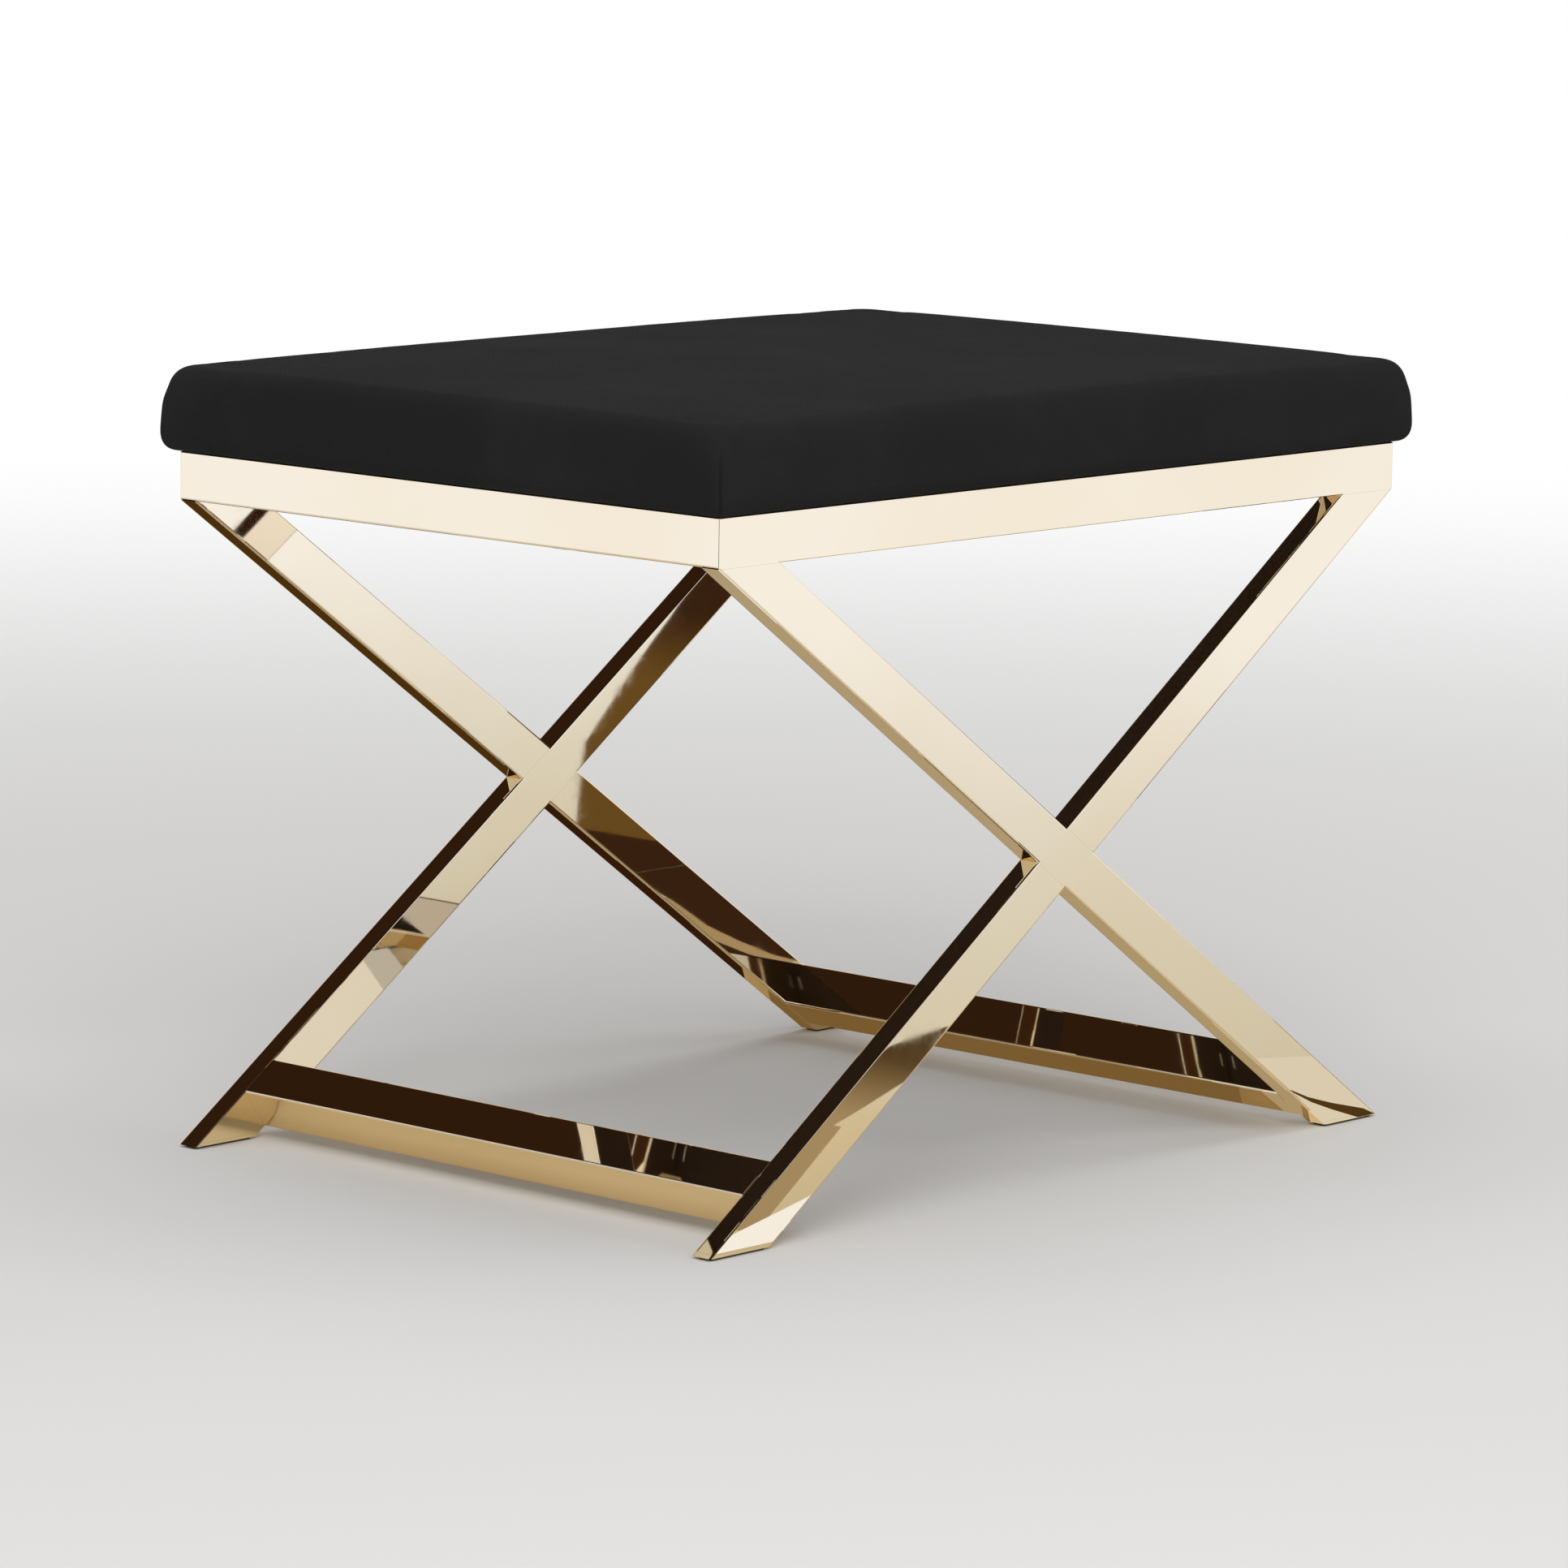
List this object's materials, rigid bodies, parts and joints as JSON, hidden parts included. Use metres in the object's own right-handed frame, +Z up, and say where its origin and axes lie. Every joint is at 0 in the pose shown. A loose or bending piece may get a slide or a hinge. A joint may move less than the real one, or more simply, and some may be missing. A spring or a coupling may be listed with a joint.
{
  "type": "x frame stool",
  "caption": "Low upholstered stool on a polished rectangular-tube frame, with crossed legs on the front and back and a floor stretcher on each side.",
  "frame": {"origin": "on the floor under the middle of the seat", "axes": "+Z up, X along the wide sides that show the crossed legs, Y through the crossed frames from front to back"},
  "size_m": [0.639, 0.473, 0.4905],
  "materials": {
    "polished_gold": "mirror-polished pale warm gold plating on steel tube",
    "dark_glide": "thin dark glide pad",
    "zinc": "zinc-plated steel",
    "dust_cloth": "very dark brown non-woven dust cloth",
    "plywood": "bare plywood",
    "foam": "upholstery foam",
    "black_cover": "smooth matte black upholstery"
  },
  "bodies": {
    "root": {"top_rail_front": "polished_gold", "top_rail_back": "polished_gold", "top_rail_left": "polished_gold", "top_rail_right": "polished_gold", "front_through_leg": "polished_gold", "front_upper_half_leg": "polished_gold", "front_lower_half_leg": "polished_gold", "back_through_leg": "polished_gold", "back_upper_half_leg": "polished_gold", "back_lower_half_leg": "polished_gold", "stretcher_left": "polished_gold", "stretcher_right": "polished_gold", "front_half_leg_foot_plate": "polished_gold", "front_through_leg_foot_plate": "polished_gold", "back_half_leg_foot_plate": "polished_gold", "back_through_leg_foot_plate": "polished_gold", "front_half_leg_glide": "dark_glide", "front_through_leg_glide": "dark_glide", "back_half_leg_glide": "dark_glide", "back_through_leg_glide": "dark_glide", "corner_gusset_front_left": "polished_gold", "corner_gusset_front_right": "polished_gold", "corner_gusset_back_right": "polished_gold", "corner_gusset_back_left": "polished_gold", "seat_screw_front_left": "zinc", "seat_screw_front_right": "zinc", "seat_screw_back_right": "zinc", "seat_screw_back_left": "zinc", "seat_washer_front_left": "zinc", "seat_washer_front_right": "zinc", "seat_washer_back_right": "zinc", "seat_washer_back_left": "zinc", "t_nut_front_left": "zinc", "t_nut_front_right": "zinc", "t_nut_back_right": "zinc", "t_nut_back_left": "zinc", "dust_cover": "dust_cloth", "seat_board": "plywood", "foam_pad": "foam", "seat_cover": "black_cover"}
  },
  "joints": []
}
